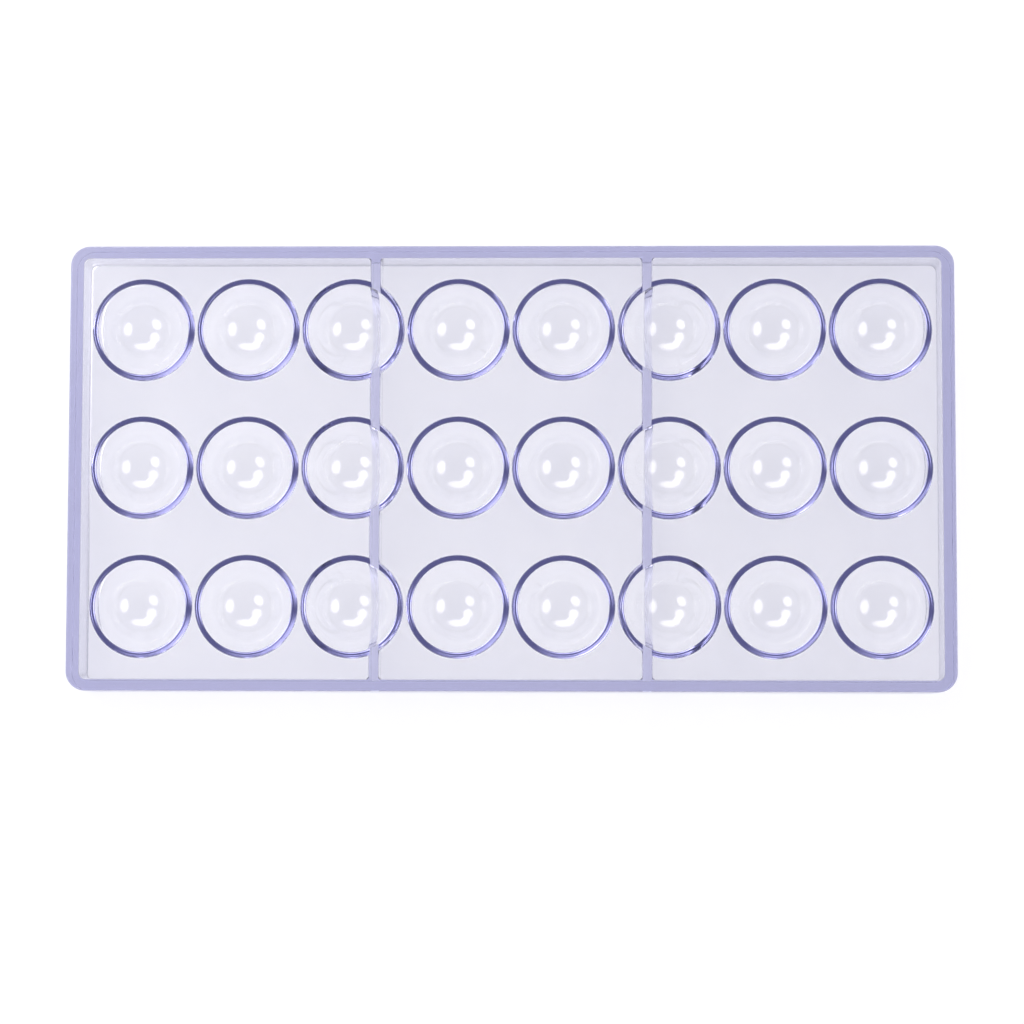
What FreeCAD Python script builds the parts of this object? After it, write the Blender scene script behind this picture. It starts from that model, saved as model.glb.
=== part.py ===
# Clear one-piece mould for filled chocolates, standing on its rim with the cavities open upwards.
# The rim is on z = 0 and the pouring face is at the top. The shells and ribs hang below the deck.
# X runs along the length, Y across the width. All sizes are in millimetres.
import FreeCAD, Part
import math
import os

# Overall size, measured at the rim.
length = 275.0
width = 138.5
height = 24.0

# Deck and skirt. The skirt is drafted so that it leaves the moulding tool.
deck_thickness = 2.5
end_wall = 3.8
side_wall = 3.5
outer_corner_radius = 6.0
outer_draft_deg = 0.5
inner_draft_deg = 0.5
rim_edge_radius = 0.15
face_edge_radius = 0.4
deck_corner_radius = 0.8

# Half-round cavities and the shells around them.
cavity_radius = 14.2
shell_wall = 1.9
shell_foot_reach = 0.3
columns = 8
rows = 3
column_pitch = 32.7
row_pitch = 43.0

# Two stiffening ribs cross the hollow side from one long wall to the other, deeper than the shells.
# Their upright corners at the walls are a little rounder than the corners along the deck.
rib_thickness = 2.5
rib_spacing = 84.4
rib_depth = 17.0
rib_draft_deg = 0.5
rib_corner_extra = 0.2

# How far a cutting tool runs past the face that it opens, and how level a level edge is.
cut_margin = 1.0
tolerance = 1e-6

# Worked out from the sizes above.
deck_underside = height - deck_thickness
rib_bottom = deck_underside - rib_depth
shell_radius = cavity_radius + shell_wall
inner_corner_radius = outer_corner_radius - end_wall
rib_corner_radius = deck_corner_radius + rib_corner_extra
outer_slope = math.tan(math.radians(outer_draft_deg))
inner_slope = math.tan(math.radians(inner_draft_deg))
rib_slope = math.tan(math.radians(rib_draft_deg))


def flat_face(corners):
    """A flat face with the given corners."""
    return Part.Face(Part.makePolygon(corners + corners[:1]))


def drafted_block(low, high):
    """A block with straight drafted sides. Each end is an X range, a Y range and a height."""
    rings = []
    for (x_low, x_high), (y_low, y_high), z in (low, high):
        corners = [(x_low, y_low), (x_high, y_low), (x_high, y_high), (x_low, y_high)]
        rings.append([FreeCAD.Vector(x, y, z) for x, y in corners])
    bottom, top = rings
    faces = [flat_face(bottom[::-1]), flat_face(top)]
    for index in range(len(bottom)):
        after = (index + 1) % len(bottom)
        faces.append(flat_face([bottom[index], bottom[after], top[after], top[index]]))
    return Part.Solid(Part.Shell(faces))


def level_edges(shape, z):
    """Every edge that lies in the level plane at height z."""
    return [edge for edge in shape.Edges
            if abs(edge.BoundBox.ZMin - z) < tolerance and abs(edge.BoundBox.ZMax - z) < tolerance]


def upright_edges(block, side):
    """The edges that climb the block on its low X side (-1) or on its high X side (1)."""
    middle = block.BoundBox.Center.x
    return [edge for edge in block.Edges
            if edge.BoundBox.ZLength > tolerance and side * (edge.CenterOfMass.x - middle) > 0]


def rounded_block(low, high, low_side_radius, high_side_radius):
    """A drafted block with the upright corners of each end of its length rounded."""
    block = drafted_block(low, high)
    block = block.makeFillet(low_side_radius, upright_edges(block, -1))
    return block.makeFillet(high_side_radius, upright_edges(block, 1))


def outer_half_size(z):
    """Half the length and half the width of the outside at height z. It is widest at the rim."""
    inset = z * outer_slope
    return length / 2 - inset, width / 2 - inset


def inner_half_size(z):
    """Half the length and half the width between the inner faces of the skirt at height z."""
    inset = z * inner_slope
    return length / 2 - end_wall - inset, width / 2 - side_wall - inset


def rib_faces(z):
    """The near and far side of a rib, measured along X from the middle of the mould."""
    half_thickness = rib_thickness / 2 + (z - rib_bottom) * rib_slope
    return rib_spacing / 2 - half_thickness, rib_spacing / 2 + half_thickness


def outer_block():
    """The whole outside of the mould, filled in, with the edge of its pouring face eased."""
    ends = []
    for z in (0.0, height):
        half_length, half_width = outer_half_size(z)
        ends.append(((-half_length, half_length), (-half_width, half_width), z))
    block = rounded_block(*ends, outer_corner_radius, outer_corner_radius)
    return block.makeFillet(face_edge_radius, level_edges(block, height))


def lower_hollow():
    """The hollow between the rim and the ribs, open from wall to wall."""
    ends = []
    for z in (-cut_margin, rib_bottom):
        half_length, half_width = inner_half_size(z)
        ends.append(((-half_length, half_length), (-half_width, half_width), z))
    return rounded_block(*ends, inner_corner_radius, inner_corner_radius)


def bay_ranges(z):
    """The X ranges of the three bays that the ribs make, at height z."""
    half_length = inner_half_size(z)[0]
    near, far = rib_faces(z)
    return [(-half_length, -far), (-near, near), (far, half_length)]


def bays():
    """The hollow beside the ribs, rounded where it meets the ribs and the deck."""
    side_radii = [
        (inner_corner_radius, rib_corner_radius),
        (rib_corner_radius, rib_corner_radius),
        (rib_corner_radius, inner_corner_radius),
    ]
    hollows = []
    for low_range, high_range, radii in zip(bay_ranges(rib_bottom), bay_ranges(deck_underside), side_radii):
        ends = []
        for z, x_range in ((rib_bottom, low_range), (deck_underside, high_range)):
            half_width = inner_half_size(z)[1]
            ends.append((x_range, (-half_width, half_width), z))
        bay = rounded_block(*ends, *radii)
        hollows.append(bay.makeFillet(deck_corner_radius, level_edges(bay, deck_underside)))
    return hollows


def tray():
    """Deck, skirt and ribs, before the shells are added."""
    body = outer_block().cut(lower_hollow())
    body = body.makeFillet(rim_edge_radius, level_edges(body, 0.0))
    return body.cut(bays())


def cavity_centres():
    """The centre of each cavity, on the pouring face."""
    centres = []
    for row in range(rows):
        for column in range(columns):
            x = (column - (columns - 1) / 2) * column_pitch
            y = (row - (rows - 1) / 2) * row_pitch
            centres.append(FreeCAD.Vector(x, y, height))
    return centres


def shell_dome():
    """The outside of one shell, turned about its axis. Its foot slopes out onto the deck's underside."""
    meeting_radius = math.sqrt(shell_radius ** 2 - deck_thickness ** 2)
    foot_angle = math.asin(deck_thickness / shell_radius) + shell_foot_reach / shell_radius
    shoulder_angle = (foot_angle + math.pi / 2) / 2
    root = -deck_thickness / 2
    foot_radius = meeting_radius + shell_foot_reach

    bottom = FreeCAD.Vector(0, 0, -shell_radius)
    shoulder = FreeCAD.Vector(math.cos(shoulder_angle), 0, -math.sin(shoulder_angle)) * shell_radius
    joint = FreeCAD.Vector(math.cos(foot_angle), 0, -math.sin(foot_angle)) * shell_radius
    foot_end = FreeCAD.Vector(foot_radius, 0, -deck_thickness)
    root_edge = FreeCAD.Vector(foot_radius, 0, root)
    root_axis = FreeCAD.Vector(0, 0, root)
    edges = [Part.Arc(bottom, shoulder, joint).toShape()]
    corners = [joint, foot_end, root_edge, root_axis, bottom]
    for start, end in zip(corners, corners[1:]):
        edges.append(Part.LineSegment(start, end).toShape())
    return Part.Face(Part.Wire(edges)).revolve(FreeCAD.Vector(0, 0, 0), FreeCAD.Vector(0, 0, 1), 360)


def cavity():
    """The half-round space that one chocolate fills."""
    return Part.makeSphere(cavity_radius)


def placed_at(shape, centres):
    """One copy of the shape at each centre."""
    return [shape.translated(centre) for centre in centres]


def mould_body():
    """The whole mould as one moulding."""
    centres = cavity_centres()
    body = tray().fuse(placed_at(shell_dome(), centres))
    body = body.cut(placed_at(cavity(), centres))
    return body.removeSplitter()


os.makedirs("parts", exist_ok=True)
mould = mould_body().Solids[0]
mould.exportStep("parts/mould_body.step")
print("valid", mould.isValid(), "volume", round(mould.Volume), "faces", len(mould.Faces))
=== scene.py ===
import math
import bmesh
import bpy
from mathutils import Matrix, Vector


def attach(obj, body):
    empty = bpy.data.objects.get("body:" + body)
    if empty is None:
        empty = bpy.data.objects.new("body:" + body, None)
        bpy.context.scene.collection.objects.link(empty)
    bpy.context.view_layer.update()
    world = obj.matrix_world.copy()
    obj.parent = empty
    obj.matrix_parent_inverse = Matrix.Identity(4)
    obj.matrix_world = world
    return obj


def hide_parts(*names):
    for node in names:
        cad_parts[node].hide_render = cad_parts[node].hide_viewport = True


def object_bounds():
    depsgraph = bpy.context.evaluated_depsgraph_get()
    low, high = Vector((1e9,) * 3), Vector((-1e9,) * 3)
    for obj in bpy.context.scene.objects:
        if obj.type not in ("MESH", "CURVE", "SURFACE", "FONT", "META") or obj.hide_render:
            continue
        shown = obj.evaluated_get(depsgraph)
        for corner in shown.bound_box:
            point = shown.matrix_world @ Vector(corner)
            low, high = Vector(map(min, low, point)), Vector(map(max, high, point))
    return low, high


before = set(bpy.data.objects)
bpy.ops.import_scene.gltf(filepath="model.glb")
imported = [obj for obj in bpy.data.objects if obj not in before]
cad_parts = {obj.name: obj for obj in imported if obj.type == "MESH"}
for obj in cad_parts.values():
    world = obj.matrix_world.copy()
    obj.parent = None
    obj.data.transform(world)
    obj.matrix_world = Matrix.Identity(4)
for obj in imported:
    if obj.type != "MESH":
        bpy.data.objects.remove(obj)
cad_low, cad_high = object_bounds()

# The moulding's outside: deck and skirt in clear plastic, made in one shot.
# It stands on its rim with the pouring face up. The skirt leans out a little towards the rim.
mm = 0.001
length = cad_high.x - cad_low.x
width = cad_high.y - cad_low.y
height = cad_high.z - cad_low.z
outer_corner_radius = 6.0 * mm
outer_corner_steps = 12
draft = math.tan(math.radians(0.5))
face_edge_radius = 0.4 * mm
face_edge_steps = 4

# An upright edge climbs by least_climb at the least. A level edge is off its level by a hair at the
# most, and its two faces meet at sharp_fold or more, in radians.
least_climb = 2.0 * mm
hair = 0.01 * mm
sharp_fold = 0.5


def select_edges(piece, wanted):
    """In edit mode, picks only the edges that wanted(edge) is true for."""
    bpy.ops.mesh.select_all(action="DESELECT")
    bpy.ops.mesh.select_mode(type="EDGE")
    mesh = bmesh.from_edit_mesh(piece.data)
    for edge in mesh.edges:
        if wanted(edge):
            edge.select_set(True)
    mesh.select_flush_mode()
    bmesh.update_edit_mesh(piece.data)


def upright(edge):
    """True for an edge that climbs from one end of a block to the other."""
    low, high = sorted(vertex.co.z for vertex in edge.verts)
    return high - low > least_climb


def level_at(z):
    """A test for the folded edges, not the seams within a flat face, that lie at height z."""
    def test(edge):
        folded = edge.calc_face_angle(0.0) > sharp_fold
        return folded and all(abs(vertex.co.z - z) < hair for vertex in edge.verts)
    return test


def round_edges(piece, wanted, radius, steps):
    """Rounds the wanted edges of a piece."""
    bpy.ops.object.mode_set(mode="EDIT")
    select_edges(piece, wanted)
    bpy.ops.mesh.bevel(offset=radius, offset_type="OFFSET", segments=steps, profile=0.5)
    bpy.ops.object.mode_set(mode="OBJECT")


def drafted_block(name, low, high):
    """A block whose ends are (x range, y range, height), with straight sides between them."""
    bpy.ops.object.select_all(action="DESELECT")
    bpy.ops.mesh.primitive_cube_add(size=1.0)
    block = bpy.context.object
    block.name = name
    for vertex in block.data.vertices:
        x_range, y_range, z = low if vertex.co.z < 0 else high
        vertex.co = (x_range[vertex.co.x > 0], y_range[vertex.co.y > 0], z)
    return block


def outside_at(z):
    """The X range, Y range and height of the outside of the skirt at height z."""
    half_length = length / 2 - z * draft
    half_width = width / 2 - z * draft
    return (-half_length, half_length), (-half_width, half_width), z


mould = drafted_block("clear_mould", outside_at(0.0), outside_at(height))
round_edges(mould, upright, outer_corner_radius, outer_corner_steps)
round_edges(mould, level_at(height), face_edge_radius, face_edge_steps)

# The hollow side: one deep pocket under the deck that two ribs part into three bays.
# The ribs reach deeper than the shells. Their corners and the foot of every wall are rounded.
end_wall = 3.8 * mm
side_wall = 3.5 * mm
deck_thickness = 2.5 * mm
deck_underside = height - deck_thickness
rib_depth = 17.0 * mm
rib_bottom = deck_underside - rib_depth
rib_thickness = 2.5 * mm
rib_spacing = 84.4 * mm
inner_corner_radius = outer_corner_radius - end_wall
inner_corner_steps = 8
rib_corner_radius = 1.0 * mm
rib_corner_steps = 5
deck_corner_radius = 0.4 * mm
deck_corner_steps = 5
rim_edge_radius = 0.15 * mm
rim_edge_steps = 3
cut_margin = 1.0 * mm


def select_only(piece):
    """Leaves the piece as the only selected object, and as the active one."""
    bpy.ops.object.select_all(action="DESELECT")
    piece.select_set(True)
    bpy.context.view_layer.objects.active = piece


def combine(piece, other, operation):
    """Joins other to the piece, or cuts it away, and removes it."""
    select_only(piece)
    modifier = piece.modifiers.new(operation.lower(), "BOOLEAN")
    modifier.operation = operation
    modifier.solver = "EXACT"
    modifier.object = other
    bpy.ops.object.modifier_apply(modifier=modifier.name)
    bpy.data.objects.remove(other)


def inside_at(z):
    """The X range, Y range and height of the inside of the skirt at height z."""
    half_length = length / 2 - end_wall - z * draft
    half_width = width / 2 - side_wall - z * draft
    return (-half_length, half_length), (-half_width, half_width), z


def rib_end(middle, z):
    """One end of the slot that leaves a rib standing, at height z."""
    half_thickness = rib_thickness / 2 + (z - rib_bottom) * draft
    return (middle - half_thickness, middle + half_thickness), (-width, width), z


def at_rib_corner(edge):
    """True for the upright edges where a rib meets a long wall."""
    x = sum(vertex.co.x for vertex in edge.verts) / 2
    return upright(edge) and abs(abs(x) - rib_spacing / 2) < rib_thickness


hollow = drafted_block("hollow", inside_at(-cut_margin), inside_at(deck_underside))
round_edges(hollow, upright, inner_corner_radius, inner_corner_steps)
for middle in (-rib_spacing / 2, rib_spacing / 2):
    rib = drafted_block("rib", rib_end(middle, rib_bottom), rib_end(middle, height))
    combine(hollow, rib, "DIFFERENCE")
round_edges(hollow, at_rib_corner, rib_corner_radius, rib_corner_steps)
round_edges(hollow, level_at(deck_underside), deck_corner_radius, deck_corner_steps)
combine(mould, hollow, "DIFFERENCE")
round_edges(mould, level_at(0.0), rim_edge_radius, rim_edge_steps)

# The shells and cavities: each half-round shell hangs from the deck with a small round at its foot,
# and the polished half-round cavity inside it opens on the pouring face.
cavity_radius = 14.2 * mm
shell_wall = 1.9 * mm
shell_radius = cavity_radius + shell_wall
shell_foot_radius = 0.4 * mm
shell_foot_steps = 5
rows = 3
row_pitch = 43.0 * mm
columns = 8
column_pitch = 32.7 * mm
turns = 80
smooth_below_deg = 30


def at_every_cavity(piece):
    """Copies the piece to each cavity of the mould and joins the copies."""
    bpy.ops.object.select_all(action="DESELECT")
    copies = []
    for row in range(rows):
        for column in range(columns):
            copy = piece.copy()
            copy.data = piece.data.copy()
            copy.data.transform(copy.matrix_world)
            x = (column - (columns - 1) / 2) * column_pitch
            y = (row - (rows - 1) / 2) * row_pitch
            copy.location = (x, y, height)
            bpy.context.collection.objects.link(copy)
            copy.select_set(True)
            copies.append(copy)
    bpy.data.objects.remove(piece)
    bpy.context.view_layer.objects.active = copies[0]
    bpy.ops.object.join()
    bpy.ops.object.transform_apply(location=True, rotation=True, scale=True)
    return bpy.context.object


def ball_below(radius, ceiling):
    """The part of a ball below the height ceiling, in edit mode with its open edge picked."""
    bpy.ops.object.select_all(action="DESELECT")
    bpy.ops.mesh.primitive_uv_sphere_add(segments=turns, ring_count=turns // 2, radius=radius)
    bpy.ops.object.mode_set(mode="EDIT")
    bpy.ops.mesh.select_all(action="SELECT")
    bpy.ops.mesh.bisect(plane_co=(0, 0, ceiling), plane_no=(0, 0, 1), clear_outer=True,
                        use_fill=False)
    ball = bpy.context.object
    select_edges(ball, lambda edge: edge.is_boundary)
    return ball


def pull_rim(piece, reach, z):
    """Extrudes the open edge of a turned piece to a ring of radius reach at height z."""
    mesh = bmesh.from_edit_mesh(piece.data)
    ring = [vertex.co for edge in mesh.edges if edge.select for vertex in edge.verts]
    now = math.hypot(ring[0].x, ring[0].y)
    level = ring[0].z
    bpy.ops.mesh.extrude_region_move()
    bpy.ops.transform.resize(value=(reach / now, reach / now, 1.0))
    bpy.ops.transform.translate(value=(0, 0, z - level))


def close_top():
    """Fills the picked open edge and leaves edit mode."""
    bpy.ops.mesh.edge_face_add()
    bpy.ops.object.mode_set(mode="OBJECT")


foot_drop = deck_thickness + shell_foot_radius
foot_reach = math.sqrt((shell_radius + shell_foot_radius) ** 2 - foot_drop ** 2)
foot_angle = math.atan2(foot_drop, foot_reach)
shell = ball_below(shell_radius, -shell_radius * math.sin(foot_angle))
for step in range(1, shell_foot_steps + 1):
    turned = math.pi + foot_angle + (math.pi / 2 - foot_angle) * step / shell_foot_steps
    pull_rim(shell, foot_reach + shell_foot_radius * math.cos(turned),
             hair - foot_drop - shell_foot_radius * math.sin(turned))
pull_rim(shell, foot_reach, -deck_thickness / 2)
close_top()
combine(mould, at_every_cavity(shell), "UNION")

cavity = ball_below(cavity_radius, cut_margin)
close_top()
combine(mould, at_every_cavity(cavity), "DIFFERENCE")

select_only(mould)
bpy.ops.object.shade_smooth_by_angle(angle=math.radians(smooth_below_deg))
weighted = mould.modifiers.new("weighted_normals", "WEIGHTED_NORMAL")
weighted.mode = "FACE_AREA"
weighted.keep_sharp = True
bpy.ops.object.modifier_apply(modifier=weighted.name)
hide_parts("mould_body")
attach(mould, "root")

# Clear plastic with a faint lilac tint: hard, polished and a little deeper in colour where thick.
# It is duller in a few handled spots, and slow ripples from the flow of the melt cross its faces.
refraction = 1.585
clear_white = (1.0, 1.0, 1.0, 1.0)
clear_lilac = (0.978, 0.98, 0.99, 1.0)
polished = (0.0, 0.0, 0.0, 1.0)
scuffed = (0.03, 0.03, 0.03, 1.0)
ripple_strength = 0.05
ripple_height = 0.2 * mm
shadow_colour = (0.94, 0.94, 0.955, 1.0)
tint_colour = (0.2, 0.2, 0.67, 1.0)
tint_density = 28.0


def empty_tree(owner):
    """Gives a material or world an empty node tree and returns its nodes and links."""
    owner.use_nodes = True
    owner.node_tree.nodes.clear()
    return owner.node_tree.nodes, owner.node_tree.links


def noise(scale, detail):
    """A noise texture on the object's own coordinates."""
    texture = nodes.new("ShaderNodeTexNoise")
    texture.inputs["Scale"].default_value = scale
    texture.inputs["Detail"].default_value = detail
    links.new(place.outputs["Object"], texture.inputs["Vector"])
    return texture


def ramp(source, start, end, low, high):
    """The colour low where the source is below start, high above end, and a blend between."""
    steps = nodes.new("ShaderNodeValToRGB")
    steps.color_ramp.elements[0].position = start
    steps.color_ramp.elements[0].color = low
    steps.color_ramp.elements[1].position = end
    steps.color_ramp.elements[1].color = high
    links.new(source, steps.inputs["Fac"])
    return steps


plastic = bpy.data.materials.new("clear_lilac_plastic")
nodes, links = empty_tree(plastic)
surface = nodes.new("ShaderNodeBsdfPrincipled")
surface.inputs["IOR"].default_value = refraction
surface.inputs["Transmission Weight"].default_value = 1.0
place = nodes.new("ShaderNodeTexCoord")
clouds = ramp(noise(scale=45.0, detail=2.0).outputs["Fac"],
              start=0.3, end=0.7, low=clear_lilac, high=clear_white)
links.new(clouds.outputs["Color"], surface.inputs["Base Color"])
polish = ramp(noise(scale=90.0, detail=3.0).outputs["Fac"],
              start=0.58, end=0.8, low=polished, high=scuffed)
links.new(polish.outputs["Color"], surface.inputs["Roughness"])
ripples = nodes.new("ShaderNodeBump")
ripples.inputs["Strength"].default_value = ripple_strength
ripples.inputs["Distance"].default_value = ripple_height
links.new(noise(scale=60.0, detail=2.0).outputs["Fac"], ripples.inputs["Height"])
links.new(ripples.outputs["Normal"], surface.inputs["Normal"])

see_through = nodes.new("ShaderNodeBsdfTransparent")
see_through.inputs["Color"].default_value = shadow_colour
light_path = nodes.new("ShaderNodeLightPath")
lamps_pass = nodes.new("ShaderNodeMixShader")
links.new(light_path.outputs["Is Shadow Ray"], lamps_pass.inputs["Fac"])
links.new(surface.outputs["BSDF"], lamps_pass.inputs[1])
links.new(see_through.outputs["BSDF"], lamps_pass.inputs[2])
tint = nodes.new("ShaderNodeVolumeAbsorption")
tint.inputs["Color"].default_value = tint_colour
tint.inputs["Density"].default_value = tint_density
output = nodes.new("ShaderNodeOutputMaterial")
links.new(lamps_pass.outputs["Shader"], output.inputs["Surface"])
links.new(tint.outputs["Volume"], output.inputs["Volume"])
mould.data.materials.clear()
mould.data.materials.append(plastic)

# The pale floor just under the mould. Seen through the plastic and in reflections it shows a
# painted glow, like a light table lit from below, painted a little brighter on the left.
# It is matt, so the walls and ribs darken it. It is white to the camera where it is bare.
floor_size = 6.0
floor_drop = 0.3 * mm
floor_colour = (0.43, 0.43, 0.47, 1.0)
glow_colour = (1.0, 1.0, 1.0, 1.0)
# Painted light: the strengths of the floor's glow seen through the plastic, brighter at the left
# end than at the right.
painted_glow_left = 0.545
painted_glow_right = 0.475
glow_bare = 0.66


def combined(operation, first, second):
    """The result of a math node on two values, each a number or a socket."""
    node = nodes.new("ShaderNodeMath")
    node.operation = operation
    for socket, value in zip(node.inputs, (first, second)):
        if isinstance(value, float):
            socket.default_value = value
        else:
            links.new(value, socket)
    return node.outputs["Value"]


bpy.ops.object.select_all(action="DESELECT")
bpy.ops.mesh.primitive_plane_add(size=floor_size, location=(0, 0, -floor_drop))
floor = bpy.context.object
floor.name = "floor"
paper = bpy.data.materials.new("white_floor")
nodes, links = empty_tree(paper)
matt = nodes.new("ShaderNodeBsdfDiffuse")
matt.inputs["Color"].default_value = floor_colour
glow = nodes.new("ShaderNodeEmission")
glow.inputs["Color"].default_value = glow_colour
light_path = nodes.new("ShaderNodeLightPath")
place = nodes.new("ShaderNodeTexCoord")
split = nodes.new("ShaderNodeSeparateXYZ")
links.new(place.outputs["Object"], split.inputs["Vector"])
# Painted light: the floor's glow seen through the plastic fades from brighter at the left end to
# dimmer at the right.
painted_glow_across = nodes.new("ShaderNodeMapRange")
painted_glow_across.inputs["From Min"].default_value = -length / 2
painted_glow_across.inputs["From Max"].default_value = length / 2
painted_glow_across.inputs["To Min"].default_value = painted_glow_left
painted_glow_across.inputs["To Max"].default_value = painted_glow_right
links.new(split.outputs["X"], painted_glow_across.inputs["Value"])
through = combined("MAXIMUM", light_path.outputs["Is Transmission Ray"],
                   light_path.outputs["Is Glossy Ray"])
painted_glow_through = combined("MULTIPLY", through, painted_glow_across.outputs["Result"])
seen_directly = combined("MULTIPLY", light_path.outputs["Is Camera Ray"], glow_bare)
links.new(combined("MAXIMUM", painted_glow_through, seen_directly), glow.inputs["Strength"])
both = nodes.new("ShaderNodeAddShader")
links.new(matt.outputs["BSDF"], both.inputs[0])
links.new(glow.outputs["Emission"], both.inputs[1])
output = nodes.new("ShaderNodeOutputMaterial")
links.new(both.outputs["Shader"], output.inputs["Surface"])
floor.data.materials.append(paper)

# Soft studio lights, high round the camera. Each is a round panel that fades out towards its edge.
# Their places give each ring and dome the highlights that it has in the studio.
subject = Vector((0, 0, height))
light_distance = 2.0
light_colour = (1.0, 0.985, 0.9)
panel_middle = (0.5, 0.5, 0.0)
panel_edge = 0.5
panel_core = 0.15


def soft_light(name, tilt_deg, bearing_deg, wide, tall, radiance):
    """A soft light aimed at the mould, tilt_deg from straight above and at a bearing from +X."""
    lamp = bpy.data.lights.new(name, "AREA")
    lamp.shape = "ELLIPSE"
    lamp.size = wide
    lamp.size_y = tall
    lamp.energy = radiance * math.pi * (math.pi / 4 * wide * tall)
    lamp.color = light_colour
    lamp.use_nodes = True
    nodes = lamp.node_tree.nodes
    links = lamp.node_tree.links
    place = nodes.new("ShaderNodeNewGeometry")
    from_middle = nodes.new("ShaderNodeVectorMath")
    from_middle.operation = "DISTANCE"
    from_middle.inputs[1].default_value = panel_middle
    fade = nodes.new("ShaderNodeMapRange")
    fade.interpolation_type = "SMOOTHSTEP"
    fade.inputs["From Min"].default_value = panel_edge
    fade.inputs["From Max"].default_value = panel_core
    fade.inputs["To Min"].default_value = 0.0
    fade.inputs["To Max"].default_value = 1.0
    links.new(place.outputs["Parametric"], from_middle.inputs[0])
    links.new(from_middle.outputs["Value"], fade.inputs["Value"])
    links.new(fade.outputs["Result"], nodes["Emission"].inputs["Strength"])
    box = bpy.data.objects.new(name, lamp)
    tilt = math.radians(tilt_deg)
    bearing = math.radians(bearing_deg)
    level = math.sin(tilt)
    away = Vector((level * math.cos(bearing), level * math.sin(bearing), math.cos(tilt)))
    box.location = subject + away * light_distance
    box.rotation_euler = away.to_track_quat("Z", "Y").to_euler()
    bpy.context.collection.objects.link(box)


soft_light("right_light", tilt_deg=44, bearing_deg=355, wide=1.55, tall=1.05, radiance=4.0)
soft_light("left_front_light", tilt_deg=34, bearing_deg=210, wide=1.2, tall=1.0, radiance=4.0)
soft_light("left_light", tilt_deg=29, bearing_deg=149, wide=1.1, tall=1.2, radiance=3.8)
soft_light("left_back_light", tilt_deg=35, bearing_deg=121, wide=1.0, tall=0.8, radiance=5.0)
soft_light("back_light", tilt_deg=39, bearing_deg=90, wide=2.3, tall=0.85, radiance=3.6)

# The room round the lights: white walls that turn into a cooler, darker ceiling as they rise.
# The camera sees a plain white background instead of it.
wall_top = 0.1
ceiling_edge = 0.5
wall_colour = (1.0, 1.0, 1.0, 1.0)
ceiling_colour = (0.28, 0.28, 0.38, 1.0)
backdrop_colour = (1.0, 1.0, 1.0, 1.0)

world = bpy.data.worlds.new("studio")
bpy.context.scene.world = world
nodes, links = empty_tree(world)
light_path = nodes.new("ShaderNodeLightPath")
room = nodes.new("ShaderNodeBackground")
direction = nodes.new("ShaderNodeTexCoord")
split = nodes.new("ShaderNodeSeparateXYZ")
links.new(direction.outputs["Generated"], split.inputs["Vector"])
walls_to_ceiling = ramp(split.outputs["Z"], start=wall_top, end=ceiling_edge,
                        low=wall_colour, high=ceiling_colour)
walls_to_ceiling.color_ramp.interpolation = "EASE"
links.new(walls_to_ceiling.outputs["Color"], room.inputs["Color"])
backdrop = nodes.new("ShaderNodeBackground")
backdrop.inputs["Color"].default_value = backdrop_colour
seen = nodes.new("ShaderNodeMixShader")
links.new(light_path.outputs["Is Camera Ray"], seen.inputs["Fac"])
links.new(room.outputs["Background"], seen.inputs[1])
links.new(backdrop.outputs["Background"], seen.inputs[2])
output = nodes.new("ShaderNodeOutputWorld")
links.new(seen.outputs["Shader"], output.inputs["Surface"])

# The camera looks down from 1.1 m, a little from the front right, through a long lens.
# Light may bounce often inside the plastic, which is what makes its rings and edges clear.
camera_place = (0.03, -0.08, 1.1)
camera_turn_deg = (5.203, 1.564, 0.138)
focal_length = 122.74
sensor_width = 36.0
frame_shift = -0.1
view_distance = 20.0
most_bounces = 20

lens = bpy.data.cameras.new("camera")
lens.sensor_width = sensor_width
lens.lens = focal_length
lens.shift_y = frame_shift
lens.clip_end = view_distance
camera = bpy.data.objects.new("camera", lens)
camera.location = camera_place
camera.rotation_euler = [math.radians(angle) for angle in camera_turn_deg]
bpy.context.collection.objects.link(camera)
scene = bpy.context.scene
scene.camera = camera
scene.view_settings.view_transform = "Standard"
scene.cycles.max_bounces = most_bounces
scene.cycles.glossy_bounces = most_bounces
scene.cycles.transmission_bounces = most_bounces
